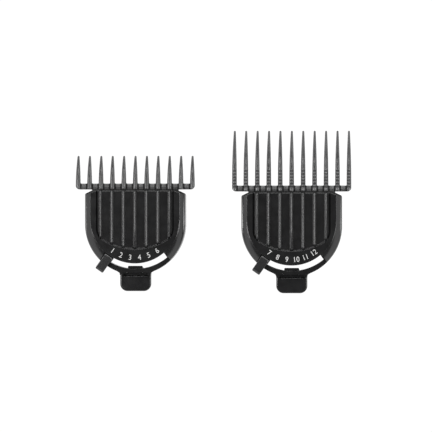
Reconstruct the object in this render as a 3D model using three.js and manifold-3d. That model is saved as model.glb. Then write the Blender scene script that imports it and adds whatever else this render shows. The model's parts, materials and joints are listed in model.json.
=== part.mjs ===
// A pair of adjustable guide combs for a hair clipper: a short one (settings 1 to 6)
// and a long one (settings 7 to 12). They lie side by side on a table, clipper side down.
//
// Millimetres, +Z up from the table. Each comb has its own frame of coordinates: the lever's
// pivot is at x = 0, y = 0, the teeth point to +Y and the release latch to -Y.
// In each comb a lever turns a cam disc, whose spiral slot slides the tooth comb out and in.

import * as THREE from 'three';
import Module from 'manifold-3d';
import { mergeVertices } from 'three/addons/utils/BufferGeometryUtils.js';

const wasm = await Module();
wasm.setup();

// ---- driving dimensions -------------------------------------------------------------------

const COMB_SPACING = 61.2; // pivot to pivot
const SHORT_PIVOT_Y = -2.75;
const LONG_PIVOT_Y = -3.55;

// heights of the layers, from the table up
const BACK_PLATE_Z = [5.1, 5.9];
const TONGUE_Z = [6.1, 7.2];
const CAM_Z = [7.4, 8.5];
const FACE_Z = [8.7, 9.95];
const BAND_TOP = 7.1;
const PANEL_FLOOR = 9.4;
const RIB_TOP = 10.7;

// the frame in plan: a U with straight sides and a round foot
const OUTLINE_HALF = 19.7;
const OUTLINE_ARC_Y = -2.1;
const FOOT_Y = -20.95;
const SHOULDER_Y = 9.2;
const CREST_HALF = 17.1;
const CREST_Y = 11.05;
const LEDGE_LINE = [[15.6, CREST_Y], [OUTLINE_HALF, 9.45]]; // the shoulders step down outside it
const LEDGE_TOP = 7.6;
const CAVITY_HALF = 17.45;

// the rim's rounded top: part of an ellipse, from the outline in to a crease above the cavity's wall
const RIM_WALL_TOP = 7.0;
const RIM_ROUND_WIDTH = 4.07;

// the recessed panel and its ribs
const PANEL_HALF = 15.2;
const PANEL_ARC_Y = 12.45;
const PANEL_ARC_R = 24.4;
const RIB_PITCH = 4.5;
const RIB_SIDE_COUNT = 3; // ribs on each side of the middle one
const RIB_BASE = 1.75;
const RIB_CREST = 0.85;

// lever, knob and the slot that the knob runs along
const LEVER_HALF_SWEEP = THREE.MathUtils.degToRad(35);
const SLOT_R = [17.4, 19.5];
const KNOB_R = [17.55, 24.6];
const KNOB_WIDTH = 3.5;
const KNOB_Z = [7.3, 10.2];
const KNOB_END_GAP = 0.35;
const SLOT_END_OFFSET = 1.6; // the slot stops a little short of the knob's way
const SETTINGS = 6;
const CAM_R = 12.7;
const CAM_REAR_Y = 3.2;
const ARM_WIDTH = 2.4;
const ARM_END_R = 19.0;
const SHOE_HALF = 2.0; // the wider end of the arm, which the knob sits on
const SHOE_R = [16.6, 19.3];
const POST_R = [17.9, 18.8];
const POST_HALF = 0.8;

// cam slot: the follower's distance from the pivot shrinks evenly with the lever's angle
const FOLLOWER_R = 0.9;
const FOLLOWER_START = 10.8;
const COMB_TRAVEL = 5.0;
const CAM_SLOT_GAP = 0.2;

// pivot
const BOSS_R = 1.6;
const PIVOT_BORE_R = 1.8;
const BUSH_R = 2.9;

// tongue of the tooth comb and the rails on its two sides
const TONGUE_HALF = 13.3;
const TONGUE_FOOT_Y = -9.0;
const TONGUE_TAIL = [-3.0, 3.0, -12.2, TONGUE_FOOT_Y + 0.5];
const TONGUE_WINDOW = [-3.3, 3.3, -8.3, 3.3];
const TONGUE_SHOULDER_HALF = 17.0;
const TONGUE_SHOULDER_Y = 10.75;
const RAIL_X = [13.6, 17.5];
const RAIL_Y = [-8.0, 10.5];

// teeth
const TOOTH_PITCH = 4.475;
const TOOTH_SIDE_COUNT = 5; // teeth on each side of the middle one
const TOOTH_WIDTH = 1.85;
const TOOTH_TIP_WIDTH = 0.8;
const BAR_Y = [11.25, 13.85];
const BAR_Z = [5.4, 7.4];
const BAR_CORNER_R = 1.6;
const TOOTH_BASE_TOP = 8.3;

// screws, their pilot holes in the frame and the clearance holes in the back plate
const SCREW_HEAD_Z = 4.45;
const SCREW_TIP_Z = 8.0;
const SCREW_R = 0.65;
const PIVOT_HEAD_R = 1.7;
const BACK_HEAD_R = 1.4;
const PILOT_R = 0.85;
const PILOT_END_Z = 8.2;
const CLEARANCE_R = 0.95;
const BACK_SCREW_AT = [15.5, 4.0];

// ribs inside the skirt that snap under the clipper head
const SNAP_RIB_X = [17.0, 17.6];
const SNAP_RIB_Y = [2.5, 8.0];
const SNAP_RIB_Z = [1.2, 1.9];

// detent hollows in the back plate
const DETENT_R = 15.2;
const DETENT_HOLLOW_R = 0.7;
const DETENT_DEPTH = 0.3;

// release latch and its hinge, a pin along X
const LATCH_AXIS = [-20.2, 5.2]; // y, z
const LATCH_PIN_R = 0.45;
const LATCH_PIN_HALF = 4.3;
const LATCH_PIN_HOLE_HALF = 4.6;
const LATCH_SPRING_ROOM_R = 1.12;
const LATCH_BORE_R = 0.62;
const LATCH_BARREL_R = 0.95;
const LATCH_BARREL_X = [-3.3, 2.0];
const LATCH_WINDOW_HALF = 3.5;
const LATCH_WINDOW_TOP = 6.3;
const CHEEK_Z = [4.9, 6.9];
const TAB_HALF = 6.1;
const TAB_END_Y = -28.3;
const TAB_Z = [2.4, 4.4];
const TAB_CORNER_R = 2.9;
const HOOK_HALF = 2.9;
const HOOK_TIP_HALF = 2.6; // the hook narrows towards its upper edge
const HOOK_TIP_Y = -18.35;
const HOOK_NARROWS_Y = -19.3;
const NECK_HALF = 3.4;
const NECK_FOOT_HALF = 5.4;
const NECK_TOP = 3.6;

const TOLERANCE = 1e-4;
const FAR = 40; // reaches past any piece

// The two combs differ only in their teeth.
const SHORT_TEETH = {
  tipY: 24.75,
  taperFromY: 14.5,
  notches: 0,
  topEdge: { from: [16.6, 7.9], pull: [20.6, 7.5], to: [24.75, 5.0] },
  underside: { from: [24.75, 4.5], pull: [20.0, 4.6], to: [15.0, 5.4] },
};
const LONG_TEETH = {
  tipY: 35.4,
  taperFromY: 20.5,
  notches: 6,
  topEdge: { from: [20.6, 8.2], pull: [26.5, 8.0], to: [35.4, 1.4] },
  underside: { from: [35.4, 0.7], pull: [27.0, 4.4], to: [15.0, 5.4] },
};
const NOTCH_PITCH = 1.24;
const NOTCH_START_Y = 13.05;
const NOTCH_DEPTH = 0.35;
const NOTCH_WIDTH = 0.5;

// ---- materials ----------------------------------------------------------------------------

const plastic = (color, roughness) => new THREE.MeshStandardMaterial({ color, roughness, metalness: 0 });
const MATERIALS = {
  frame: plastic(0x1c1d1e, 0.5),
  comb: plastic(0x2b2c2d, 0.42),
  lever: plastic(0x191a1b, 0.5),
  knob: plastic(0x222324, 0.48),
  latch: plastic(0x1a1b1c, 0.5),
  back: plastic(0x202122, 0.6),
  bush: plastic(0xd8d6cf, 0.45),
  steel: new THREE.MeshStandardMaterial({ color: 0xb8babd, roughness: 0.32, metalness: 1 }),
};

// ---- making and combining solids ----------------------------------------------------------

function toSolid(geometry) {
  geometry.deleteAttribute('normal');
  geometry.deleteAttribute('uv');
  const merged = mergeVertices(geometry, TOLERANCE);
  const vertProperties = new Float32Array(merged.attributes.position.array);
  const triVerts = new Uint32Array(merged.index.array);
  return new wasm.Manifold(new wasm.Mesh({ numProp: 3, vertProperties, triVerts }));
}

function toGeometry(solid) {
  const { vertProperties, triVerts } = solid.getMesh();
  const geometry = new THREE.BufferGeometry();
  geometry.setAttribute('position', new THREE.BufferAttribute(vertProperties, 3));
  geometry.setIndex(new THREE.BufferAttribute(triVerts, 1));
  geometry.computeVertexNormals();
  return geometry;
}

const join = (...solids) => solids.reduce((whole, solid) => whole.add(solid));
const cut = (solid, ...tools) => tools.reduce((rest, tool) => rest.subtract(tool), solid);

function block(x0, x1, y0, y1, z0, z1) {
  const geometry = new THREE.BoxGeometry(x1 - x0, y1 - y0, z1 - z0);
  return toSolid(geometry.translate((x0 + x1) / 2, (y0 + y1) / 2, (z0 + z1) / 2));
}

// an upright cylinder
function rod(radius, z0, z1, x = 0, y = 0, sides = 20) {
  const geometry = new THREE.CylinderGeometry(radius, radius, z1 - z0, sides);
  return toSolid(geometry.rotateX(Math.PI / 2).translate(x, y, (z0 + z1) / 2));
}

// a cylinder along X
function crossRod(radius, x0, x1, [y, z], sides = 16) {
  const geometry = new THREE.CylinderGeometry(radius, radius, x1 - x0, sides);
  return toSolid(geometry.rotateZ(Math.PI / 2).translate((x0 + x1) / 2, y, z));
}

// a shape drawn in plan, as thick as z0 to z1
function slab(shape, z0, z1, curveSegments = 12) {
  const geometry = new THREE.ExtrudeGeometry(shape, { depth: z1 - z0, bevelEnabled: false, curveSegments });
  return toSolid(geometry.translate(0, 0, z0));
}

// a shape drawn in the YZ plane, as wide as x0 to x1
function sideSlab(shape, x0, x1, curveSegments = 8) {
  const geometry = new THREE.ExtrudeGeometry(shape, { depth: x1 - x0, bevelEnabled: false, curveSegments });
  const turn = new THREE.Matrix4().makeBasis(
    new THREE.Vector3(0, 1, 0), new THREE.Vector3(0, 0, 1), new THREE.Vector3(1, 0, 0));
  return toSolid(geometry.applyMatrix4(turn).translate(x0, 0, 0));
}

function polygon(points) {
  return new THREE.Shape(points.map(([x, y]) => new THREE.Vector2(x, y)));
}

// numbers centred on 0, one pitch apart
function evenly(sideCount, pitch) {
  return Array.from({ length: 2 * sideCount + 1 }, (_, i) => (i - sideCount) * pitch);
}

// ---- frame --------------------------------------------------------------------------------

// a U about an axis at arcY, open past the top of the comb
function uShape(half, arcY) {
  const shape = new THREE.Shape();
  shape.absarc(0, arcY, half, Math.PI, 2 * Math.PI, false);
  shape.lineTo(half, FAR);
  shape.lineTo(-half, FAR);
  return shape;
}

// a solid through convex rings with the same number of points, stacked upwards
function stack(rings) {
  const count = rings[0].length;
  const index = [];
  for (let ring = 0; ring + 1 < rings.length; ring += 1) {
    for (let i = 0; i < count; i += 1) {
      const [here, next] = [ring * count + i, ring * count + ((i + 1) % count)];
      index.push(here, next, next + count, here, next + count, here + count);
    }
  }
  const top = (rings.length - 1) * count;
  for (let i = 1; i + 1 < count; i += 1) index.push(0, i + 1, i, top, top + i, top + i + 1);
  const geometry = new THREE.BufferGeometry();
  geometry.setAttribute('position', new THREE.Float32BufferAttribute(rings.flat(2), 3));
  geometry.setIndex(index);
  return toSolid(geometry);
}

function rimBlock() {
  const segments = 20;
  const roundSteps = 5;
  const ring = (share, z) => {
    const half = OUTLINE_HALF - share * (OUTLINE_HALF - CAVITY_HALF);
    return uShape(half, (1 - share) * OUTLINE_ARC_Y).getPoints(segments).map(({ x, y }) => [x, y, z]);
  };
  const crease = (OUTLINE_HALF - CAVITY_HALF) / RIM_ROUND_WIDTH;
  const rise = (share) => Math.sqrt(1 - (1 - share * crease) ** 2);
  const round = Array.from({ length: roundSteps }, (_, i) => {
    const share = ((i + 1) / roundSteps) ** 1.5;
    return ring(share, RIM_WALL_TOP + ((FACE_Z[1] - RIM_WALL_TOP) * rise(share)) / rise(1));
  });
  return stack([ring(0, 0), ring(0, RIM_WALL_TOP), ...round]);
}

// what the frame keeps in plan: sloping shoulders at the top, a flat at the latch
function frameLimits() {
  const corner = { width: 0.6, pull: 0.7, rise: 0.9 };
  const shape = new THREE.Shape();
  shape.moveTo(-FAR, FOOT_Y);
  shape.lineTo(FAR, FOOT_Y);
  shape.lineTo(FAR, SHOULDER_Y);
  shape.lineTo(OUTLINE_HALF, SHOULDER_Y);
  shape.quadraticCurveTo(
    OUTLINE_HALF, SHOULDER_Y + corner.pull, OUTLINE_HALF - corner.width, SHOULDER_Y + corner.rise);
  shape.lineTo(CREST_HALF, CREST_Y);
  shape.lineTo(-CREST_HALF, CREST_Y);
  shape.lineTo(-OUTLINE_HALF + corner.width, SHOULDER_Y + corner.rise);
  shape.quadraticCurveTo(-OUTLINE_HALF, SHOULDER_Y + corner.pull, -OUTLINE_HALF, SHOULDER_Y);
  shape.lineTo(-FAR, SHOULDER_Y);
  return slab(shape, 0, FACE_Z[1], 4);
}

// what is cut off above the two shoulder ledges
function aboveLedges() {
  const [[crestX, crestY], [sideX, sideY]] = LEDGE_LINE;
  return [-1, 1].map((side) => {
    const points = [[crestX, crestY], [sideX, sideY], [FAR, sideY], [FAR, FAR], [crestX, FAR]];
    return slab(polygon(points.map(([x, y]) => [side * x, y])), LEDGE_TOP, FAR);
  });
}

// part of a ring that spans the knob's sweep; its ends are parallel to the knob's sides
function sweepShape(rInner, rOuter, endOffset) {
  const down = 1.5 * Math.PI;
  const reach = (r) => LEVER_HALF_SWEEP + Math.asin(endOffset / r);
  const shape = new THREE.Shape();
  shape.absarc(0, 0, rInner, down - reach(rInner), down + reach(rInner), false);
  shape.absarc(0, 0, rOuter, down + reach(rOuter), down - reach(rOuter), true);
  return shape;
}

function panelShape() {
  const bottomHalf = 13.2;
  const sideEndY = -3.6;
  const pullY = -6.4;
  const halfAngle = Math.asin(bottomHalf / PANEL_ARC_R);
  const arcEndY = PANEL_ARC_Y - PANEL_ARC_R * Math.cos(halfAngle);
  const shape = new THREE.Shape();
  shape.moveTo(-PANEL_HALF, FAR);
  shape.lineTo(-PANEL_HALF, sideEndY);
  shape.quadraticCurveTo(-PANEL_HALF, pullY, -bottomHalf, arcEndY);
  shape.absarc(0, PANEL_ARC_Y, PANEL_ARC_R, 1.5 * Math.PI - halfAngle, 1.5 * Math.PI + halfAngle, false);
  shape.quadraticCurveTo(PANEL_HALF, pullY, PANEL_HALF, sideEndY);
  shape.lineTo(PANEL_HALF, FAR);
  return shape;
}

// one rib of the panel: a bar with sloping flanks whose lower end ramps down to the floor
function panelRib(x) {
  const root = 0.4;
  const endY = PANEL_ARC_Y - Math.sqrt(PANEL_ARC_R ** 2 - x ** 2);
  const ramp = 1.3;
  const bottom = PANEL_FLOOR - root;
  const flare = (RIB_BASE - RIB_CREST) / 2 / (RIB_TOP - PANEL_FLOOR);
  const foot = RIB_BASE / 2 + root * flare;
  const crest = RIB_CREST / 2;
  const section = polygon([[-foot, bottom], [foot, bottom], [crest, RIB_TOP], [-crest, RIB_TOP]]);
  const geometry = new THREE.ExtrudeGeometry(section, { depth: CREST_Y - endY, bevelEnabled: false });
  geometry.rotateX(Math.PI / 2).translate(x, CREST_Y, 0);
  const side = polygon([
    [CREST_Y, bottom], [CREST_Y, RIB_TOP], [endY + ramp, RIB_TOP], [endY, PANEL_FLOOR + 0.1], [endY, bottom],
  ]);
  return toSolid(geometry).intersect(sideSlab(side, x - foot, x + foot));
}

// the cheeks that carry the band down to the latch's tab, one on each side of its neck
function latchCheeks() {
  const outline = [
    [3.4, -20.85], [3.4, -21.3], [4.75, -21.3], [4.75, -21.9],
    [TAB_HALF, -21.9], [TAB_HALF, -21.5], [6.4, -21.0], [7.1, -20.5], [5.0, -20.85],
  ];
  return [-1, 1].map((side) => slab(polygon(outline.map(([x, y]) => [side * x, y])), ...CHEEK_Z));
}

function frame() {
  const hollow = slab(uShape(CAVITY_HALF, 0), -1, FACE_Z[0], 20);
  const slot = slab(sweepShape(...SLOT_R, SLOT_END_OFFSET), -1, FAR);
  const knobWay = slab(sweepShape(SLOT_R[0], FAR, KNOB_WIDTH / 2 + KNOB_END_GAP), BAND_TOP, FAR);
  const panel = slab(panelShape(), PANEL_FLOOR, FAR, 8);
  const latchWindow = block(-LATCH_WINDOW_HALF, LATCH_WINDOW_HALF, -FAR, -SLOT_R[0], -1, LATCH_WINDOW_TOP);
  const pinHole = crossRod(LATCH_BORE_R, -LATCH_PIN_HOLE_HALF, LATCH_PIN_HOLE_HALF, LATCH_AXIS);
  const shell = cut(
    rimBlock().intersect(frameLimits()),
    hollow, slot, knobWay, panel, latchWindow, pinHole, ...aboveLedges());

  const railBottom = BACK_PLATE_Z[1] + 0.15;
  const faceJoin = FACE_Z[0] + 0.05;
  const rails = [-1, 1].map((side) => {
    const [x0, x1] = RAIL_X.map((x) => side * x).sort((a, b) => a - b);
    const rail = block(x0, x1, ...RAIL_Y, railBottom, faceJoin);
    return cut(rail, rod(PILOT_R, 0, PILOT_END_Z, side * BACK_SCREW_AT[0], BACK_SCREW_AT[1], 12));
  });
  const boss = cut(rod(BOSS_R, railBottom, faceJoin), rod(PILOT_R, 0, PILOT_END_Z, 0, 0, 12));
  const snapRibs = [-1, 1].map((side) => {
    const [x0, x1] = SNAP_RIB_X.map((x) => side * x).sort((a, b) => a - b);
    return block(x0, x1, ...SNAP_RIB_Y, ...SNAP_RIB_Z);
  });
  const ribs = evenly(RIB_SIDE_COUNT, RIB_PITCH).map(panelRib);
  return join(shell, ...rails, boss, ...snapRibs, ...ribs, ...latchCheeks());
}

// ---- tooth comb ---------------------------------------------------------------------------

function toothSide({ tipY, notches, topEdge, underside }) {
  const rear = BAR_Y[0];
  const shape = new THREE.Shape();
  shape.moveTo(rear, BAR_Z[0]);
  shape.lineTo(rear, TOOTH_BASE_TOP - 0.5);
  shape.quadraticCurveTo(rear, TOOTH_BASE_TOP, rear + 0.5, TOOTH_BASE_TOP);
  for (let i = 0; i < notches; i += 1) {
    const y = NOTCH_START_Y + i * NOTCH_PITCH;
    shape.lineTo(y, TOOTH_BASE_TOP);
    shape.lineTo(y + 0.1, TOOTH_BASE_TOP - NOTCH_DEPTH);
    shape.lineTo(y + NOTCH_WIDTH - 0.1, TOOTH_BASE_TOP - NOTCH_DEPTH);
    shape.lineTo(y + NOTCH_WIDTH, TOOTH_BASE_TOP);
  }
  shape.lineTo(...topEdge.from);
  shape.quadraticCurveTo(...topEdge.pull, ...topEdge.to);
  shape.lineTo(tipY, underside.from[1]);
  shape.quadraticCurveTo(...underside.pull, ...underside.to);
  return shape;
}

function toothPlan({ tipY, taperFromY }, x) {
  const half = TOOTH_WIDTH / 2;
  const tip = TOOTH_TIP_WIDTH / 2;
  const shape = new THREE.Shape();
  shape.moveTo(x - half, 0);
  shape.lineTo(x + half, 0);
  shape.lineTo(x + half, taperFromY);
  shape.absarc(x, tipY - tip, tip, 0, Math.PI, false);
  shape.lineTo(x - half, taperFromY);
  return shape;
}

function barShape() {
  const half = TOOTH_SIDE_COUNT * TOOTH_PITCH + TOOTH_WIDTH / 2;
  const r = BAR_CORNER_R;
  const shape = new THREE.Shape();
  shape.absarc(-half + r, BAR_Y[0] + r, r, Math.PI, 1.5 * Math.PI, false);
  shape.absarc(half - r, BAR_Y[0] + r, r, 1.5 * Math.PI, 2 * Math.PI, false);
  shape.lineTo(half, BAR_Y[1]);
  shape.lineTo(-half, BAR_Y[1]);
  return shape;
}

function toothComb(teeth) {
  const [windowX0, windowX1, windowY0, windowY1] = TONGUE_WINDOW;
  const tongue = cut(
    block(-TONGUE_HALF, TONGUE_HALF, TONGUE_FOOT_Y, BAR_Y[0] + 1, ...TONGUE_Z),
    block(windowX0, windowX1, windowY0, windowY1, 0, FAR));
  const tail = block(...TONGUE_TAIL, ...TONGUE_Z);
  const shoulder = block(
    -TONGUE_SHOULDER_HALF, TONGUE_SHOULDER_HALF, TONGUE_SHOULDER_Y, BAR_Y[0] + 1, ...TONGUE_Z);
  const bar = slab(barShape(), ...BAR_Z, 3);
  const corners = slab(barShape(), 0, FAR, 3).add(block(-FAR, FAR, BAR_Y[1] - 0.1, FAR, 0, FAR));
  const side = toothSide(teeth);
  const blades = evenly(TOOTH_SIDE_COUNT, TOOTH_PITCH).map((x) => {
    const half = TOOTH_WIDTH / 2;
    return sideSlab(side, x - half, x + half, 4).intersect(slab(toothPlan(teeth, x), 0, FAR, 2));
  });
  const follower = rod(FOLLOWER_R, TONGUE_Z[0] + 0.5, CAM_Z[1] - 0.05, 0, -FOLLOWER_START, 16);
  return join(tongue, tail, shoulder, follower, join(bar, ...blades).intersect(corners));
}

// ---- lever: drawn with its knob straight down, at the middle of its sweep --------------------

// the spiral slot's outline: along one flank, round the far end and back along the other
function camSlotShape() {
  const half = FOLLOWER_R + CAM_SLOT_GAP;
  const steps = 14;
  const sweep = 2 * LEVER_HALF_SWEEP;
  const overrun = 0.02;
  const at = (t) => {
    const angle = -Math.PI / 2 + LEVER_HALF_SWEEP - t * sweep;
    const r = FOLLOWER_START - t * COMB_TRAVEL;
    return new THREE.Vector2(r * Math.cos(angle), r * Math.sin(angle));
  };
  const along = Array.from({ length: steps + 1 }, (_, i) => -overrun + (i / steps) * (1 + 2 * overrun));
  const flank = (t, side) => {
    const tangent = at(t + 0.001).sub(at(t - 0.001)).normalize();
    return at(t).add(new THREE.Vector2(-tangent.y, tangent.x).multiplyScalar(side * half));
  };
  const roundEnd = (t, direction) => [1, 2, 3, 4, 5].map((i) => {
    const tangent = at(t + 0.001).sub(at(t - 0.001)).normalize().multiplyScalar(half);
    return at(t).add(tangent.rotateAround(new THREE.Vector2(), direction - (i * Math.PI) / 6));
  });
  const left = along.map((t) => flank(t, 1));
  const right = along.map((t) => flank(t, -1)).reverse();
  const outer = roundEnd(1 + overrun, Math.PI / 2);
  const inner = roundEnd(-overrun, -Math.PI / 2);
  return new THREE.Shape([...left, ...outer, ...right, ...inner]);
}

function camLever() {
  const arm = block(-ARM_WIDTH / 2, ARM_WIDTH / 2, -ARM_END_R, -CAM_R + 1, ...CAM_Z);
  const shoe = block(-SHOE_HALF, SHOE_HALF, -SHOE_R[1], -SHOE_R[0], ...CAM_Z);
  const post = block(-POST_HALF, POST_HALF, -POST_R[1], -POST_R[0], CAM_Z[1] - 0.1, CAM_Z[1] + 0.5);
  const disc = cut(
    rod(CAM_R, ...CAM_Z, 0, 0, 56),
    block(-FAR, FAR, CAM_REAR_Y, FAR, 0, FAR),
    rod(PIVOT_BORE_R, 0, FAR),
    slab(camSlotShape(), 0, FAR));
  return join(disc, arm, shoe, post);
}

function leverKnob() {
  const half = KNOB_WIDTH / 2;
  const [inner, outer] = KNOB_R.map((r) => -r);
  const round = 0.4;
  const shape = new THREE.Shape();
  shape.absarc(half - round, outer + round, round, -Math.PI / 2, 0, false);
  shape.lineTo(half, inner);
  shape.lineTo(-half, inner);
  shape.absarc(-half + round, outer + round, round, Math.PI, 1.5 * Math.PI, false);
  const [bottom, top] = KNOB_Z;
  const side = polygon([
    [inner, bottom], [inner, top - 0.7], [inner - 0.5, top - 0.1], [inner - 0.9, top],
    [outer + 0.8, top], [outer, top - 0.6], [outer, bottom],
  ]);
  const body = slab(shape, bottom, top, 4).intersect(sideSlab(side, -half, half));
  const gap = 0.25;
  const shoePocket = block(-FAR, FAR, -SHOE_R[1] - gap, FAR, -1, CAM_Z[1] + 0.1);
  const postPocket = block(
    -POST_HALF - gap, POST_HALF + gap, -POST_R[1] - gap, -POST_R[0] + gap, -1, CAM_Z[1] + 0.8);
  return cut(body, shoePocket, postPocket);
}

// a bent leaf under the lever's arm whose nose rides over the detent hollows of the back plate
function detentSpring() {
  const thick = 0.2;
  const [flatZ, noseZ] = [7.0, BACK_PLATE_Z[1] + 0.1];
  const lower = [[-13.7, flatZ], [-14.4, flatZ], [-15.0, noseZ], [-15.4, noseZ], [-16.6, flatZ - 0.4]];
  const upper = lower.map(([y, z]) => [y, z + thick]).reverse();
  return sideSlab(polygon([...lower, ...upper]), -1.0, 1.0);
}

// ---- pivot, back plate and screws -----------------------------------------------------------

function pivotBush() {
  const [bottom, top] = [BACK_PLATE_Z[1] + 0.15, CAM_Z[0] - 0.15];
  return cut(rod(BUSH_R, bottom, top), rod(PIVOT_BORE_R, 0, FAR));
}

// a self-tapping screw driven upwards: domed head with a cross recess, then a plain shank
function screw(x, y, headR) {
  const headTop = BACK_PLATE_Z[0] - 0.1;
  const profile = [
    [0, SCREW_HEAD_Z], [headR * 0.55, SCREW_HEAD_Z], [headR * 0.9, SCREW_HEAD_Z + 0.15],
    [headR, headTop - 0.15], [headR, headTop], [SCREW_R, headTop],
    [SCREW_R, SCREW_TIP_Z - 0.5], [SCREW_R * 0.4, SCREW_TIP_Z], [0, SCREW_TIP_Z],
  ].map(([r, z]) => new THREE.Vector2(r, z));
  const body = toSolid(new THREE.LatheGeometry(profile, 12).rotateX(Math.PI / 2));
  const arm = 0.7 * headR;
  const recess = join(
    block(-arm, arm, -0.16, 0.16, 0, SCREW_HEAD_Z + 0.35),
    block(-0.16, 0.16, -arm, arm, 0, SCREW_HEAD_Z + 0.35));
  return cut(body, recess).translate([x, y, 0]);
}

function backPlate() {
  const half = CAVITY_HALF - 0.3;
  const limits = block(-FAR, FAR, -FAR, CREST_Y - 0.5, -1, FAR);
  const plate = slab(uShape(half, 0), ...BACK_PLATE_Z, 20).intersect(limits);
  const screwHoles = [-1, 1].map((side) => (
    rod(CLEARANCE_R, 0, FAR, side * BACK_SCREW_AT[0], BACK_SCREW_AT[1], 12)));
  const hollowFloor = BACK_PLATE_Z[1] - DETENT_DEPTH;
  const hollows = Array.from({ length: SETTINGS }, (_, i) => {
    const angle = 1.5 * Math.PI - LEVER_HALF_SWEEP + (i / (SETTINGS - 1)) * 2 * LEVER_HALF_SWEEP;
    const [x, y] = [DETENT_R * Math.cos(angle), DETENT_R * Math.sin(angle)];
    return rod(DETENT_HOLLOW_R, hollowFloor, FAR, x, y, 8);
  });
  return cut(plate, rod(CLEARANCE_R, 0, FAR, 0, 0, 12), ...screwHoles, ...hollows);
}

// ---- release latch --------------------------------------------------------------------------

function tabShape() {
  const hornX = [5.15, TAB_HALF + 0.2];
  const hornTop = FOOT_Y - 0.4;
  const edgeY = FOOT_Y - 1.15;
  const neckY = FOOT_Y - 1.5;
  const r = TAB_CORNER_R;
  const shape = new THREE.Shape();
  shape.absarc(-TAB_HALF + r, TAB_END_Y + r, r, Math.PI, 1.5 * Math.PI, false);
  shape.absarc(TAB_HALF - r, TAB_END_Y + r, r, 1.5 * Math.PI, 2 * Math.PI, false);
  shape.lineTo(TAB_HALF, neckY);
  shape.quadraticCurveTo(TAB_HALF, hornTop, hornX[1], hornTop);
  shape.lineTo(hornX[0], hornTop);
  shape.quadraticCurveTo(hornX[0] - 0.2, edgeY, hornX[0] - 1, edgeY);
  shape.lineTo(-hornX[0] + 1, edgeY);
  shape.quadraticCurveTo(-hornX[0] + 0.2, edgeY, -hornX[0], hornTop);
  shape.lineTo(-hornX[1], hornTop);
  shape.quadraticCurveTo(-TAB_HALF, hornTop, -TAB_HALF, neckY);
  return shape;
}

// the hook that snaps behind the clipper head: an arm with a nose at its lower end
function hookShape() {
  return polygon([
    [HOOK_TIP_Y, 6.4], [-18.85, 3.2], [-19.25, 3.0], [-19.25, 1.9], [-18.9, 1.7], [-19.1, 0.8],
    [-19.9, 0.8], [-19.9, 5.9], [-19.35, 5.9], [-19.35, 6.4],
  ].reverse());
}

function releaseLatch() {
  const [axisY, axisZ] = LATCH_AXIS;
  const tab = slab(tabShape(), ...TAB_Z, 5);
  const neck = block(-NECK_HALF, NECK_HALF, FOOT_Y - 1.6, -19.4, TAB_Z[0], NECK_TOP);
  const neckFoot = block(-NECK_FOOT_HALF, NECK_FOOT_HALF, FOOT_Y - 1.6, FOOT_Y - 0.15, TAB_Z[0], NECK_TOP);
  const hookPlan = polygon([
    [-HOOK_HALF, -FAR], [HOOK_HALF, -FAR], [HOOK_HALF, HOOK_NARROWS_Y], [HOOK_TIP_HALF, HOOK_TIP_Y],
    [-HOOK_TIP_HALF, HOOK_TIP_Y], [-HOOK_HALF, HOOK_NARROWS_Y],
  ]);
  const hook = sideSlab(hookShape(), -HOOK_HALF, HOOK_HALF).intersect(slab(hookPlan, -1, FAR));
  const barrel = crossRod(LATCH_BARREL_R, ...LATCH_BARREL_X, LATCH_AXIS);
  const web = block(-HOOK_HALF, LATCH_BARREL_X[1], axisY, -19.6, axisZ - 0.8, axisZ + 0.7);
  const bore = crossRod(LATCH_BORE_R, -FAR, FAR, LATCH_AXIS);
  const springRoom = crossRod(LATCH_SPRING_ROOM_R, LATCH_BARREL_X[1], LATCH_WINDOW_HALF, LATCH_AXIS);
  return cut(join(tab, neck, neckFoot, hook, barrel, web), bore, springRoom);
}

const latchPin = () => crossRod(LATCH_PIN_R, -LATCH_PIN_HALF, LATCH_PIN_HALF, LATCH_AXIS);

// torsion spring round the latch pin: three turns between two straight legs
class SpringPath extends THREE.Curve {
  getPoint(t) {
    const turns = 3;
    const legShare = 0.12;
    const legLength = 0.75;
    const r = 0.78;
    const [x0, x1] = [2.25, 3.3];
    const s = THREE.MathUtils.clamp((t - legShare) / (1 - 2 * legShare), 0, 1);
    const angle = Math.PI / 2 - s * (turns - 0.5) * 2 * Math.PI;
    const leg = Math.max(0, legShare - t, t - 1 + legShare) / legShare * legLength;
    return new THREE.Vector3(
      x0 + s * (x1 - x0),
      LATCH_AXIS[0] + r * Math.cos(angle) - leg,
      LATCH_AXIS[1] + r * Math.sin(angle));
  }
}

function latchSpring() {
  const wire = new THREE.Shape();
  wire.absarc(0, 0, 0.12, 0, 2 * Math.PI, false);
  const options = { steps: 44, extrudePath: new SpringPath(), bevelEnabled: false, curveSegments: 3 };
  return toSolid(new THREE.ExtrudeGeometry(wire, options));
}

// ---- assembly -------------------------------------------------------------------------------

function mesh(name, solid, material) {
  const piece = new THREE.Mesh(toGeometry(solid), MATERIALS[material]);
  piece.name = name;
  return piece;
}

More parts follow.
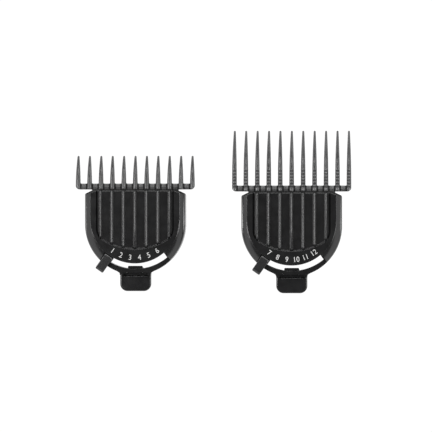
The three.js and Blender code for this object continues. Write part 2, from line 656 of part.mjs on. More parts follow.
function guideComb(prefix, teeth, x, y) {
  const comb = new THREE.Group();
  comb.position.set(x, y, 0);
  const [screwX, screwY] = BACK_SCREW_AT;
  const fixed = [
    ['frame', frame(), 'frame'],
    ['tooth_comb', toothComb(teeth), 'comb'],
    ['back_plate', backPlate(), 'back'],
    ['pivot_bush', pivotBush(), 'bush'],
    ['pivot_screw', screw(0, 0, PIVOT_HEAD_R), 'steel'],
    ['back_screw_left', screw(-screwX, screwY, BACK_HEAD_R), 'steel'],
    ['back_screw_right', screw(screwX, screwY, BACK_HEAD_R), 'steel'],
    ['release_latch', releaseLatch(), 'latch'],
    ['latch_pin', latchPin(), 'steel'],
    ['latch_spring', latchSpring(), 'steel'],
  ];
  const turning = [
    ['cam_lever', camLever(), 'lever'],
    ['lever_knob', leverKnob(), 'knob'],
    ['detent_spring', detentSpring(), 'steel'],
  ];
  fixed.forEach(([name, solid, material]) => comb.add(mesh(`${prefix}_${name}`, solid, material)));
  const lever = new THREE.Group();
  lever.rotation.z = -LEVER_HALF_SWEEP; // at rest the knob is at the lowest setting, on the left
  turning.forEach(([name, solid, material]) => lever.add(mesh(`${prefix}_${name}`, solid, material)));
  comb.add(lever);
  return comb;
}

const group = new THREE.Group();
group.add(guideComb('short', SHORT_TEETH, -COMB_SPACING / 2, SHORT_PIVOT_Y));
group.add(guideComb('long', LONG_TEETH, COMB_SPACING / 2, LONG_PIVOT_Y));

export default group;
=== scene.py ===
import json
import math

import bpy
import numpy as np
from mathutils import Matrix, Vector
from mathutils.geometry import delaunay_2d_cdt


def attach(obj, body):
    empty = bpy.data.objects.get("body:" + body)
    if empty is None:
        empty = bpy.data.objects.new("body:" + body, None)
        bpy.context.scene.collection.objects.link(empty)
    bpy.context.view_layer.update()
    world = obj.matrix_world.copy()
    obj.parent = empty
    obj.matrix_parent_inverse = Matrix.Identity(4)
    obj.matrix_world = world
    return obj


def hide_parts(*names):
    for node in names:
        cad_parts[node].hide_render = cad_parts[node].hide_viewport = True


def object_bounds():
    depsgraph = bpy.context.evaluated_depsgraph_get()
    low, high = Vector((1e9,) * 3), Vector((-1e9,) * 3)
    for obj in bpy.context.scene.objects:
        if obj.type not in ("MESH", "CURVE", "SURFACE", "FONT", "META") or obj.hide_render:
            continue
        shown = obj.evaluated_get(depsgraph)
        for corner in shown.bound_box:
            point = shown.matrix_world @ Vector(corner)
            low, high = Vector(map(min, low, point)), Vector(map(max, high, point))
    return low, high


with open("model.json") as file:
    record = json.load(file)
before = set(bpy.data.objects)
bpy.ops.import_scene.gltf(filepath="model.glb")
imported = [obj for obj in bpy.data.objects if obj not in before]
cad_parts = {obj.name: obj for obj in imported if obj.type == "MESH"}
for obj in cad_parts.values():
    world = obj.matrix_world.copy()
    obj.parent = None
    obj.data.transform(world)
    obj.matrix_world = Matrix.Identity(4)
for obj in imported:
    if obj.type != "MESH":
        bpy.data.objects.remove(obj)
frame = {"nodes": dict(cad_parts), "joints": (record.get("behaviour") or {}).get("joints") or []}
cad_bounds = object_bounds()

# A pair of guide combs for a hair clipper, lying side by side on a white table.
# The pieces are drawn in millimetres in each comb's own frame: the lever's pivot is at
# x = 0, y = 0, the teeth point to +Y, and z is the height above the table.

MM = 0.001
STEP = 0.02          # plan width of an upright step in a height field
SHARP_ANGLE = 24
ROUND_ANGLES = (0, 15, 30, 45, 60, 75, 90)

# frame
OUTLINE_HALF = 19.7
OUTLINE_ARC_Y = -2.1
FOOT_Y = -20.95
SHOULDER = [(19.7, 9.2), (19.7, 9.9), (19.1, 10.1)]
CREST = (17.1, 11.05)
LEDGE_LINE = [(15.6, 11.05), (19.7, 9.45)]
LEDGE_Z = 7.6
CAVITY_HALF = 17.45
CAVITY_Z = 8.7
FACE_Z = 9.95
BAND_Z = 7.1
RIM_WALL_Z = 7.0
RIM_CREASE_ANGLE = 63.4
RIM_REACH = 1 - math.cos(math.radians(RIM_CREASE_ANGLE))
BEYOND_Y = 14.0      # past the frame's front edge
BEYOND_R = 23.0      # past the frame's outline
TOP_EDGE_ROUND = 0.26
WAY_EDGE_ROUND = 0.3
BAND_EDGE_ROUND = 0.12

# recessed panel with ribs
PANEL_HALF = 15.2
PANEL_SIDE_END = -3.6
PANEL_PULL = -6.4
PANEL_BOTTOM_HALF = 13.2
PANEL_ARC_Y = 12.45
PANEL_ARC_R = 24.4
PANEL_FLOOR = 9.4
PANEL_WALL = (0.25, 0.5)   # upright beside the ribs, more of a slope below them
PANEL_WALL_CHANGE = 2      # the length over which one becomes the other
PANEL_GROOVE = (0.5, 0.45)
PANEL_GROOVE_X = (12.9, 0.6)   # where it starts beside the ribs, and its run-in
RIB_PITCH = 4.5
RIB_SIDE_COUNT = 3
RIB_TOP = 10.7
RIB_CREST = 0.3
RIB_CREST_R = 0.37
RIB_FLANK_ANGLE = 70
RIB_ROOT = 1.0
RIB_RAMP = 1.3
RIB_LINES = (0, 0.05, 0.1, 0.15, 0.19, 0.23, 0.26, 0.285, RIB_CREST, 0.5, 0.73, RIB_ROOT)
RIB_LINE_END = 12.0

# lever sweep and slot
HALF_SWEEP = 35
WAY_END = 2.1
SLOT_R = (17.4, 19.5)
SLOT_END = 1.6
SLOT_SPAN = (210, 330)    # the angles over which the slot's edges are drawn
BAND_SPAN = (220, 320)    # the same for the outer edge of the band below it

# rails, boss and latch window under the face
RAIL_X = (13.6, 17.45)
RAIL_Y = (-8.0, 10.5)
RAIL_Z = 6.05
RAIL_LINE_X = 19.0
BOSS_R = 1.6
PILOT_R = 0.85
PILOT_Z = 8.2
BACK_SCREW = (15.5, 4.0)
WINDOW_HALF = 3.5
WINDOW_Z = 6.3
WINDOW_LINE_Y = -18.5
SNAP_RIB = ((17.0, 17.6), (2.5, 8.0), (1.2, 1.9))

# tooth comb
TOOTH_PITCH = 4.475
TOOTH_SIDE_COUNT = 5
TOOTH_HALF = 0.925
TOOTH_TIP_HALF = 0.4
TOOTH_FLAT = 0.12
TOOTH_BASE_Z = 8.3
TOOTH_REAR_ROUND = 0.5
TOOTH_LOWER_ROUND = (0.5, 0.35)   # its width as a share of the tooth's half, and how strong it is
TOOTH_RUN_IN = 0.5
BAR_Y = (11.52, 13.85)
BAR_HALF = 23.3
BAR_Z = (5.4, 7.4)
BAR_CORNER_R = 1.6
BAR_GROOVE_Y = 12.2
BAR_LOWER_STRIP = 0.3
BAR_STEP = 0.2
BAR_SLOPE = 0.2
BAR_EDGE_ROUND = 0.4
BAR_REAR_ROUND = 0.2
TOOTH_FILLET = 0.4
POCKET_WIDTH = 0.55
POCKET_DEPTH = 0.65
TONGUE = (13.3, -9.0, 12.0)
TONGUE_SHOULDER = (17.0, 10.75, 12.0)
REAR_GROOVE = (10.9, 6.2)
TAIL = (3.0, -12.2, -8.9)
TONGUE_WINDOW = (3.3, -8.3, 3.3)
TONGUE_Z = (6.1, 7.2)
FOLLOWER_R = 0.9
FOLLOWER_Y = -10.8
FOLLOWER_Z = 8.45
NOTCH_DEPTH = 0.4
NOTCH_PITCH = 1.24
NOTCH_FIRST_Y = 13.3
NOTCH_STEPS = 8

TEETH = {
    "short": {
        "tip": 24.75,
        "taper": (19.0, 0.83),
        "notches": 0,
        "top": [(16.6, 7.9), (20.6, 7.5), (24.75, 5.0)],
        "underside": [(15.0, 5.4), (20.0, 4.6), (24.75, 4.5)],
    },
    "long": {
        "tip": 35.4,
        "taper": (24.5, 0.925),
        "notches": 6,
        "top": [(20.6, 8.2), (26.5, 8.0), (35.4, 1.4)],
        "underside": [(15.0, 5.4), (27.0, 4.4), (35.4, 0.7)],
    },
}

# knob, drawn straight below the pivot
KNOB_HALF = 1.75
KNOB_R = (17.55, 24.6)
KNOB_UNDERSIDE_Z = 7.3
KNOB_CORNER = 0.45
KNOB_EDGE_ROUND = 0.25
KNOB_PROFILE = [(-24.6, 9.6), (-23.8, 10.2), (-18.4, 10.2), (-17.9, 10.15), (-17.5, 9.95)]
SHOE_POCKET = (-19.55, 8.6)
POST_POCKET = (1.05, -19.05, -17.65, 9.3)

# release latch
TAB_HALF = 6.1
TAB_END_Y = -28.3
TAB_CORNER_R = 2.9
TAB_Z = (2.4, 4.4)
TAB_EDGE_ROUND = 0.5
TAB_LOWER_ROUND = 0.3
HORN_X = (5.15, 6.3)
HORN_DROP = 0.4
HOLLOW_DROP = 1.15
CHEEK = [
    (3.4, -20.85), (3.4, -21.3), (4.75, -21.3), (4.75, -21.9), (6.1, -21.9),
    (6.1, -21.5), (6.2, -21.2), (6.45, -20.9), (7.1, -20.55), (5.0, -20.85),
]
CHEEK_Z = (4.9, 6.9)
CHEEK_ROUND = 0.2
NECK = (3.4, -22.55, -19.4)
NECK_FOOT = (5.4, -22.55, -21.1)
NECK_Z = 3.6
LATCH_AXIS = (-20.2, 5.2)
BARREL_R = (0.62, 0.95)
BARREL_X = (-3.3, 2.0)
WEB_HALF = 2.9
WEB = [(-20.2, 4.4), (-20.2, 4.56), (-19.62, 5.9), (-19.6, 4.4)]
HOOK = [
    (-19.35, 6.4), (-19.35, 5.9), (-19.9, 5.9), (-19.9, 0.8), (-19.1, 0.8),
    (-18.9, 1.7), (-19.25, 1.9), (-19.25, 3.0), (-18.85, 3.2), (-18.35, 6.4),
]
HOOK_TIP = [(-19.3, 3.0), (-18.35, 2.75)]

# numerals
SETTINGS = 6
NUMERAL_R = 15.2
NUMERAL_HEIGHT = 2.1
NUMERAL_STEP = 14
NUMERAL_WIDTH = 0.9
NUMERAL_WEIGHT = 0.012
NUMERAL_DEPTH = 0.03
CAP_SHARE = 0.72     # a numeral's height as a share of the type size


# ---- paths in plan --------------------------------------------------------------------------

def arc(x, y, radius, start, end, steps):
    angles = np.radians(np.linspace(start, end, steps + 1))
    return np.stack([x + radius * np.cos(angles), y + radius * np.sin(angles)], axis=1)


def bend(start, pull, end, steps=8):
    t = np.linspace(0, 1, steps + 1)[:, None]
    start, pull, end = np.array(start), np.array(pull), np.array(end)
    return (1 - t) ** 2 * start + 2 * t * (1 - t) * pull + t ** 2 * end


def chain(*parts):
    """One path through all the parts' points, without repeats."""
    points = np.vstack([np.atleast_2d(np.asarray(part, float)) for part in parts])
    gaps = np.hypot(*np.diff(points, axis=0).T)
    return points[np.r_[True, gaps > 1e-6]]


def flipped(points):
    """The path mirrored to the other side, run backwards so that it keeps its turning sense."""
    return (np.asarray(points, float) * (-1, 1))[::-1]


def box_path(x0, x1, y0, y1):
    return np.array([(x0, y0), (x1, y0), (x1, y1), (x0, y1)], float)


def crosswise(x0, x1, y):
    """An open line along x, as a height field takes it."""
    return np.array([(x0, y), (x1, y)]), False


def lengthwise(x, y0, y1):
    """An open line along y, as a height field takes it."""
    return np.array([(x, y0), (x, y1)]), False


def offset(points, distance, closed=True):
    """The path moved to its left, which is inwards for an outline that runs anticlockwise."""
    before = np.roll(points, 1, axis=0)
    after = np.roll(points, -1, axis=0)
    if not closed:
        before[0] = 2 * points[0] - points[1]
        after[-1] = 2 * points[-1] - points[-2]
    sides = []
    for run in (points - before, after - points):
        run = run / np.hypot(run[:, 0], run[:, 1])[:, None]
        sides.append(np.stack([-run[:, 1], run[:, 0]], axis=1))
    lean = 1 + (sides[0] * sides[1]).sum(axis=1)
    return points + distance * (sides[0] + sides[1]) / lean[:, None]


def distance_to(points, x, y, closed=True):
    ends = np.roll(points, -1, axis=0)
    runs = list(zip(points, ends))
    if not closed:
        runs = runs[:-1]
    nearest = np.full(x.shape, np.inf)
    for (x0, y0), (x1, y1) in runs:
        dx, dy = x1 - x0, y1 - y0
        t = np.clip(((x - x0) * dx + (y - y0) * dy) / (dx * dx + dy * dy), 0, 1)
        nearest = np.minimum(nearest, np.hypot(x - x0 - t * dx, y - y0 - t * dy))
    return nearest


def within(points, x, y):
    hit = np.zeros(x.shape, bool)
    for (x0, y0), (x1, y1) in zip(points, np.roll(points, -1, axis=0)):
        if y0 == y1:
            continue
        crosses = (y0 > y) != (y1 > y)
        hit ^= crosses & (x < x0 + (y - y0) * (x1 - x0) / (y1 - y0))
    return hit


def inset(points, x, y):
    """Distance inside a closed outline; negative outside it."""
    away = distance_to(points, x, y)
    return np.where(within(points, x, y), away, -away)


# ---- edge rounding --------------------------------------------------------------------------

def rounded(distance, radius):
    """How far a rounded edge has fallen at this distance inside it."""
    gap = np.clip(radius - distance, 0, radius)
    return radius - np.sqrt(radius ** 2 - gap ** 2)


def round_offsets(radius):
    return [radius * (1 - math.cos(math.radians(angle))) for angle in ROUND_ANGLES[1:]]


def eased(t):
    t = np.clip(t, 0, 1)
    return t * t * (3 - 2 * t)


# ---- meshes ---------------------------------------------------------------------------------

def relief(lines, inside, top, bottom):
    """A closed shell between two height fields, with edges along all the lines in plan."""
    points, edges = [], []
    for line, closed in lines:
        first = len(points)
        points.extend(Vector((float(x), float(y))) for x, y in line)
        count = len(points) - first
        edges.extend((first + i, first + i + 1) for i in range(count - 1))
        if closed:
            edges.append((first + count - 1, first))
    found = delaunay_2d_cdt(points, edges, [], 0, 1e-5)
    plan = np.array([tuple(point) for point in found[0]], float)
    cells = np.array([tuple(cell) for cell in found[2]], int)
    centre = plan[cells].mean(axis=1)
    cells = cells[inside(centre[:, 0], centre[:, 1])]
    a, b, c = (plan[cells[:, i]] for i in range(3))
    turn = (b - a)[:, 0] * (c - a)[:, 1] - (b - a)[:, 1] * (c - a)[:, 0]
    cells = np.where((turn < 0)[:, None], cells[:, ::-1], cells)
    cells = cells[np.abs(turn) > 1e-9]
    used, cells = np.unique(cells, return_inverse=True)
    cells = cells.reshape(-1, 3)
    plan = plan[used]
    count = len(plan)
    x, y = plan[:, 0], plan[:, 1]
    upper = np.stack([x, y, top(x, y)], axis=1)
    lower = np.stack([x, y, bottom(x, y)], axis=1)
    sides = set()
    for corner in range(3):
        sides.update(zip(cells[:, corner].tolist(), cells[:, (corner + 1) % 3].tolist()))
    walls = [(b, a, a + count, b + count) for a, b in sides if (b, a) not in sides]
    faces = [tuple(cell) for cell in cells.tolist()]
    faces += [tuple(corner + count for corner in reversed(cell)) for cell in cells.tolist()]
    return np.vstack([upper, lower]), faces + sorted(walls)


def prism(profile, x0, x1):
    """A profile in y and z, drawn clockwise seen from +X, run along x."""
    count = len(profile)
    corners = [(x, y, z) for x in (x0, x1) for y, z in profile]
    faces = [tuple(range(count)), tuple(range(2 * count - 1, count - 1, -1))]
    faces += [(i, i + count, (i + 1) % count + count, (i + 1) % count) for i in range(count)]
    return np.array(corners, float), faces


def tube(centre, radii, x0, x1, sides=24):
    """A pipe along x."""
    y, z = centre
    inner, outer = radii
    ease = 0.08
    stations = [(x0, inner), (x0, outer - ease), (x0 + ease, outer), (x1 - ease, outer),
                (x1, outer - ease), (x1, inner)]
    corners, faces = [], []
    for x, radius in stations:
        for angle in np.linspace(0, 2 * math.pi, sides, endpoint=False):
            corners.append((x, y + radius * math.cos(angle), z + radius * math.sin(angle)))
    rings = len(stations)
    for ring in range(rings):
        following = (ring + 1) % rings
        for i in range(sides):
            j = (i + 1) % sides
            faces.append((ring * sides + i, following * sides + i, following * sides + j, ring * sides + j))
    return np.array(corners, float), faces


def place(name, shells, origin, turn=0.0):
    """An object from shells in comb millimetres, turned about the pivot and put in the row frame."""
    corners, faces = [], []
    for shell_corners, shell_faces in shells:
        first = sum(len(part) for part in corners)
        corners.append(shell_corners)
        faces.extend(tuple(i + first for i in face) for face in shell_faces)
    mesh = bpy.data.meshes.new(name)
    mesh.from_pydata((np.vstack(corners) * MM).tolist(), [], faces)
    mesh.transform(Matrix.Translation(origin) @ Matrix.Rotation(math.radians(turn), 4, "Z"))
    mesh.validate()
    return link(name, mesh)


def link(name, mesh):
    mesh.polygons.foreach_set("use_smooth", [True] * len(mesh.polygons))
    mesh.set_sharp_from_angle(angle=math.radians(SHARP_ANGLE))
    obj = bpy.data.objects.new(name, mesh)
    bpy.context.scene.collection.objects.link(obj)
    shade = obj.modifiers.new("even shading", "WEIGHTED_NORMAL")
    shade.keep_sharp = True
    return obj


# ---- frame ----------------------------------------------------------------------------------

def u_path(half, arc_y):
    sweep = arc(0, arc_y, half, 180, 360, 72)
    return chain([(-half, BEYOND_Y)], sweep, [(half, BEYOND_Y)])


def rim_path(share):
    """A line round the rim: 0 on the outline, 1 on the crease above the cavity's wall."""
    return u_path(OUTLINE_HALF - share * (OUTLINE_HALF - CAVITY_HALF), (1 - share) * OUTLINE_ARC_Y)


def rim_share(x, y):
    """Which rim_path a point lies on."""
    narrow, climb = OUTLINE_HALF - CAVITY_HALF, -OUTLINE_ARC_Y
    beside = (OUTLINE_HALF - np.abs(x)) / narrow
    below = y + climb
    a = climb ** 2 - narrow ** 2
    b = 2 * (OUTLINE_HALF * narrow - climb * below)
    c = x ** 2 + below ** 2 - OUTLINE_HALF ** 2
    around = 2 * c / (-b - np.sqrt(np.maximum(b ** 2 - 4 * a * c, 0)))
    return np.where(y > (np.clip(beside, 0, 1) - 1) * climb, beside, around)


def rim_height(share):
    rise = np.sqrt(1 - (1 - np.clip(share, 0, 1) * RIM_REACH) ** 2)
    return RIM_WALL_Z + (FACE_Z - RIM_WALL_Z) * rise / math.sin(math.radians(RIM_CREASE_ANGLE))


def past_ledge(x, y):
    """Distance past the line where each shoulder steps down."""
    (x0, y0), (x1, y1) = LEDGE_LINE
    run = math.hypot(x1 - x0, y1 - y0)
    return ((y0 - y1) * (np.abs(x) - x0) + (x1 - x0) * (y - y0)) / run


def frame_outline():
    drop = FOOT_Y - OUTLINE_ARC_Y
    foot = math.degrees(math.asin(drop / OUTLINE_HALF))
    right = arc(0, OUTLINE_ARC_Y, OUTLINE_HALF, foot, 0, 48)
    shoulder = chain(bend(*SHOULDER), [CREST])
    return chain(right, shoulder, flipped(shoulder), flipped(right))


def panel_path():
    half_angle = math.degrees(math.asin(PANEL_BOTTOM_HALF / PANEL_ARC_R))
    bottom = arc(0, PANEL_ARC_Y, PANEL_ARC_R, 270 - half_angle, 270 + half_angle, 36)
    left = bend((-PANEL_HALF, PANEL_SIDE_END), (-PANEL_HALF, PANEL_PULL), bottom[0], 12)
    far = PANEL_ARC_Y + PANEL_HALF
    return chain([(-PANEL_HALF, far)], left, bottom, flipped(left), [(PANEL_HALF, far)])


def beyond_way(x, y):
    """Distance past the end of the knob's way, along the sweep; negative within the way."""
    angle = math.radians(HALF_SWEEP)
    return np.abs(x) * math.cos(angle) + y * math.sin(angle) - WAY_END


def way_point(radius, end=WAY_END):
    """Where the right-hand end of the knob's way crosses a circle about the pivot."""
    angle = math.radians(HALF_SWEEP) + math.asin(end / radius)
    return math.degrees(angle) - 90


def way_path():
    end = way_point(SLOT_R[0])
    inner = arc(0, 0, SLOT_R[0], 180 - end, 360 + end, 60)
    outer_end = way_point(BEYOND_R)
    outside = arc(0, 0, BEYOND_R, 180 - outer_end, 360 + outer_end, 1)
    return chain(outside[:1], inner, outside[1:])


def way_end_line(end):
    """The right-hand end of the knob's way, from its inner wall outwards."""
    points = []
    for radius in (SLOT_R[0] + STEP, BEYOND_R):
        angle = way_point(radius, end)
        points.append(arc(0, 0, radius, angle, angle, 1)[0])
    return np.array(points)


def slot_outline():
    rings = []
    for radius in SLOT_R:
        end = way_point(radius, SLOT_END)
        rings.append(arc(0, 0, radius, 180 - end, 360 + end, 60))
    return chain(rings[1], rings[0][::-1])


def rib_xs():
    return [i * RIB_PITCH for i in range(-RIB_SIDE_COUNT, RIB_SIDE_COUNT + 1)]


def rib_end(x):
    return PANEL_ARC_Y - math.sqrt(PANEL_ARC_R ** 2 - x ** 2)


def rib_section(away):
    """Share of a rib's height left at this distance from its middle: a round crest, steep flanks."""
    on_crest = np.minimum(away, RIB_CREST)
    crest_fall = RIB_CREST_R - np.sqrt(RIB_CREST_R ** 2 - on_crest ** 2)
    fall = crest_fall + (away - on_crest) * math.tan(math.radians(RIB_FLANK_ANGLE))
    return np.clip(1 - fall / (RIB_TOP - PANEL_FLOOR), 0, 1)


def frame_top(x, y):
    ledge = past_ledge(x, y)
    way_edge = distance_to(way_path(), x, y, closed=False)
    face = np.minimum(rim_height(rim_share(x, y)), FACE_Z - rounded(way_edge, WAY_EDGE_ROUND))
    depth = inset(panel_path(), x, y)
    steep, gentle = PANEL_WALL
    wall = steep + (gentle - steep) * eased((PANEL_PULL - y) / PANEL_WALL_CHANGE)
    floor = face - (FACE_Z - PANEL_FLOOR) * eased(depth / wall)
    rise = np.zeros_like(x)
    for rib_x in rib_xs():
        away = np.abs(x - rib_x)
        section = rib_section(away)
        ramp = eased((y - rib_end(rib_x)) / RIB_RAMP)
        rise = np.maximum(rise, np.where(away < RIB_ROOT + STEP, section * ramp, 0))
    panel = np.maximum(floor, PANEL_FLOOR + (RIB_TOP - PANEL_FLOOR) * rise)
    groove_width, groove_depth = PANEL_GROOVE
    groove_start, run_in = PANEL_GROOVE_X
    across = np.clip(depth / groove_width, 0, 1)
    groove = groove_depth * (1 - np.abs(2 * across - 1)) * eased((np.abs(x) - groove_start) / run_in)
    panel = panel - groove
    height = np.where(depth > 0, panel, face)
    height = height - rounded(np.minimum(CREST[1] - y, -ledge), TOP_EDGE_ROUND)
    height = np.where(ledge > STEP / 2, np.minimum(height, LEDGE_Z), height)
    edge = OUTLINE_HALF - np.hypot(x, y - OUTLINE_ARC_Y)
    radius = np.hypot(x, y)
    band = BAND_Z - rounded(edge, BAND_EDGE_ROUND) - rounded(radius - SLOT_R[1], BAND_EDGE_ROUND)
    in_way = (radius > SLOT_R[0] + STEP) & (beyond_way(x, y) < -STEP / 2) & (y < 0)
    return np.where(in_way, band, height)


def frame_bottom(x, y):
    from_axis = np.where(y > 0, np.abs(x), np.hypot(x, y))
    height = np.full(x.shape, CAVITY_Z)
    on_rail = (np.abs(x) > RAIL_X[0]) & (y > RAIL_Y[0]) & (y < RAIL_Y[1])
    height = np.where(on_rail | (np.hypot(x, y) < BOSS_R), RAIL_Z, height)
    for hole_x, hole_y in [(0, 0), BACK_SCREW]:
        height = np.where(np.hypot(np.abs(x) - hole_x, y - hole_y) < PILOT_R, PILOT_Z, height)
    height = np.where(from_axis > CAVITY_HALF, 0.0, height)
    in_window = (np.abs(x) < WINDOW_HALF) & (y < -SLOT_R[0])
    return np.where(in_window, WINDOW_Z, height)


def frame_lines():
    lines = [(frame_outline(), True), (slot_outline(), True)]
    for angle in np.linspace(0, RIM_CREASE_ANGLE - 2, 10)[1:]:
        lines.append((rim_path((1 - math.cos(math.radians(angle))) / RIM_REACH), False))
    lines.append((rim_path(1.04), False))
    for side in (-STEP / 2, STEP / 2):
        lines.append((u_path(CAVITY_HALF + side, 0), False))
        lines.append((arc(0, 0, BOSS_R + side, 0, 360, 32)[:-1], True))
        lines.append((arc(0, 0, PILOT_R + side, 0, 360, 20)[:-1], True))
        for sign in (-1, 1):
            lines.append((arc(sign * BACK_SCREW[0], BACK_SCREW[1], PILOT_R + side, 0, 360, 20)[:-1], True))
            rail_x = sorted((sign * (RAIL_X[0] + side), sign * RAIL_LINE_X))
            lines.append((box_path(*rail_x, RAIL_Y[0] + side, RAIL_Y[1] - side), True))
            window_x = sign * (WINDOW_HALF + side)
            lines.append(lengthwise(window_x, WINDOW_LINE_Y, FOOT_Y - 1))
            lines.append((way_end_line(WAY_END + side - STEP / 2) * (sign, 1), False))
    for depth in round_offsets(WAY_EDGE_ROUND):
        lines.append((offset(way_path(), depth, closed=False), False))
    lines.append((arc(0, 0, SLOT_R[0] + STEP, *SLOT_SPAN, 60), False))
    for depth in round_offsets(BAND_EDGE_ROUND):
        lines.append((arc(0, 0, SLOT_R[1] + depth, *SLOT_SPAN, 60), False))
        lines.append((arc(0, OUTLINE_ARC_Y, OUTLINE_HALF - depth, *BAND_SPAN, 50), False))
    for depth in [-STEP, 0] + round_offsets(TOP_EDGE_ROUND):
        (x0, y0), (x1, y1) = LEDGE_LINE
        lean = math.atan2(y0 - y1, x1 - x0)
        start = (x0 - depth * math.tan(lean / 2), y0 - depth)
        end = (x1 - depth * math.sin(lean), y1 - depth * math.cos(lean))
        beyond = (end[0] + 1.0, end[1] - math.tan(lean))
        half = np.array([beyond, start])
        lines.append((chain(half, flipped(half)) if depth >= 0 else half, False))
        if depth < 0:
            lines.append((flipped(half), False))
    for share in np.linspace(0, 1, 11):
        lines.append((offset(panel_path(), share * PANEL_WALL[1]), True))
    for rib_x in rib_xs():
        for away in sorted({side * away for side in (-1, 1) for away in RIB_LINES}):
            lines.append(lengthwise(rib_x + away, rib_end(rib_x), RIB_LINE_END))
        for share in np.linspace(0, 1, 7):
            y = rib_end(rib_x) + share * RIB_RAMP
            lines.append(crosswise(rib_x - RIB_ROOT, rib_x + RIB_ROOT, y))
    return lines


def cheek(side):
    """A lug beside the latch's neck that carries the band down to the tab."""
    outline = np.array(CHEEK) * (side, 1)
    if side > 0:
        outline = outline[::-1]
    lines = [(outline, True)]
    for depth in round_offsets(CHEEK_ROUND):
        lines.append((offset(outline, depth), True))

    def top(x, y):
        return CHEEK_Z[1] - rounded(distance_to(outline, x, y), CHEEK_ROUND)

    def bottom(x, y):
        return np.full(x.shape, CHEEK_Z[0])

    return relief(lines, lambda x, y: within(outline, x, y), top, bottom)


def comb_frame(prefix, origin):
    outline = frame_outline()
    slot = slot_outline()
    shell = relief(
        frame_lines(),
        lambda x, y: within(outline, x, y) & ~within(slot, x, y),
        frame_top,
        frame_bottom)
    (x0, x1), (y0, y1), (z0, z1) = SNAP_RIB
    snap_profile = [(y0, z0), (y0, z1), (y1, z1), (y1, z0)]
    snaps = [prism(snap_profile, *sorted((side * x0, side * x1))) for side in (-1, 1)]
    return place(f"{prefix}_frame_look", [shell, *snaps, cheek(-1), cheek(1)], origin)


# ---- tooth comb -----------------------------------------------------------------------------

def tooth_xs():
    return [i * TOOTH_PITCH for i in range(-TOOTH_SIDE_COUNT, TOOTH_SIDE_COUNT + 1)]


def tooth_away(x):
    """Distance from the nearest tooth's centre line."""
    nearest = np.clip(np.round(x / TOOTH_PITCH), -TOOTH_SIDE_COUNT, TOOTH_SIDE_COUNT)
    return np.abs(x - nearest * TOOTH_PITCH)


def tooth_half(teeth, y):
    """Half the tooth's width: nearly straight, then drawn in to the tip."""
    end = teeth["tip"] - TOOTH_TIP_HALF
    side = bend((BAR_Y[1], TOOTH_HALF), teeth["taper"], (end, TOOTH_TIP_HALF), 24)
    return np.interp(y, side[:, 0], side[:, 1])


def tooth_share(teeth, away, y):
    """0 on the tooth's centre line, 1 on its outline."""
    end = teeth["tip"] - TOOTH_TIP_HALF
    along = away / tooth_half(teeth, y)
    return np.where(y > end, np.hypot(away, y - end) / TOOTH_TIP_HALF, along)


def tooth_crest(teeth, y):
    edge = chain([(BAR_Y[0], TOOTH_BASE_Z)], bend(*teeth["top"], 24))
    height = np.interp(y, edge[:, 0], edge[:, 1])
    height = height - rounded(y - BAR_Y[0], TOOTH_REAR_ROUND)
    for i in range(teeth["notches"]):
        phase = np.clip((y - NOTCH_FIRST_Y - i * NOTCH_PITCH) / (NOTCH_PITCH / 2), -1, 1)
        height = height - NOTCH_DEPTH * np.cos(phase * math.pi / 2) ** 4
    return height


def bar_front(away):
    """Where the bar's front edge is, with a fillet in plan beside each tooth."""
    return BAR_Y[1] + rounded(away - TOOTH_HALF, TOOTH_FILLET)


def bar_surface(y, away):
    """The bar's top: two strips, the rear one lower, with a pocket on each side of a tooth."""
    back, front = BAR_Y
    share = np.clip((y - BAR_GROOVE_Y) / (front - BAR_GROOVE_Y), 0, 1)
    upper = BAR_Z[1] - BAR_SLOPE * share
    lower = BAR_Z[1] - BAR_LOWER_STRIP
    surface = lower + (upper - lower) * eased((y - BAR_GROOVE_Y + BAR_STEP / 2) / BAR_STEP)
    surface = surface - rounded(bar_front(away) - y, BAR_EDGE_ROUND)
    surface = surface - rounded(y - back, BAR_REAR_ROUND)
    return surface - POCKET_DEPTH * (1 - eased((away - TOOTH_HALF) / POCKET_WIDTH))


def comb_top(teeth, x, y):
    away = tooth_away(x)
    half = tooth_half(teeth, y)
    share = tooth_share(teeth, away, y)
    lean = np.clip((share - TOOTH_FLAT) / (1 - TOOTH_FLAT), 0, 1)
    blade = tooth_crest(teeth, y) - half * (1 - TOOTH_FLAT) * (1 - np.sqrt(1 - lean ** 2))
    bar = bar_surface(y, away)
    on_tooth = share < 1 + 0.4 * STEP
    height = np.where(on_tooth, np.maximum(blade, np.where(y < BAR_Y[1], bar, -1.0)), bar)
    tongue = np.full(x.shape, TONGUE_Z[1])
    tongue = np.where(np.hypot(x, y - FOLLOWER_Y) < FOLLOWER_R, FOLLOWER_Z, tongue)
    groove_y, groove_z = REAR_GROOVE
    tongue = np.where(y > groove_y, groove_z, tongue)
    return np.where(y > BAR_Y[0] - STEP / 4, height, tongue)


def comb_bottom(teeth, x, y):
    away = tooth_away(x)
    half = tooth_half(teeth, y)
    share = tooth_share(teeth, away, y)
    edge = chain([(BAR_Y[0], BAR_Z[0])], bend(*teeth["underside"], 16))
    blade = np.interp(y, edge[:, 0], edge[:, 1])
    free = np.clip((y - BAR_Y[1]) / TOOTH_RUN_IN, 0, 1)
    width, strength = TOOTH_LOWER_ROUND
    blade = blade + strength * free * rounded((1 - share) * half, width * half)
    return np.where(y > BAR_Y[0] - STEP / 4, blade, TONGUE_Z[0])


def bar_outline():
    x = BAR_HALF - BAR_CORNER_R
    right = arc(x, BAR_Y[0] + BAR_CORNER_R, BAR_CORNER_R, 270, 360, 10)
    return chain(right, [(BAR_HALF, BAR_Y[1]), (-BAR_HALF, BAR_Y[1])], flipped(right))


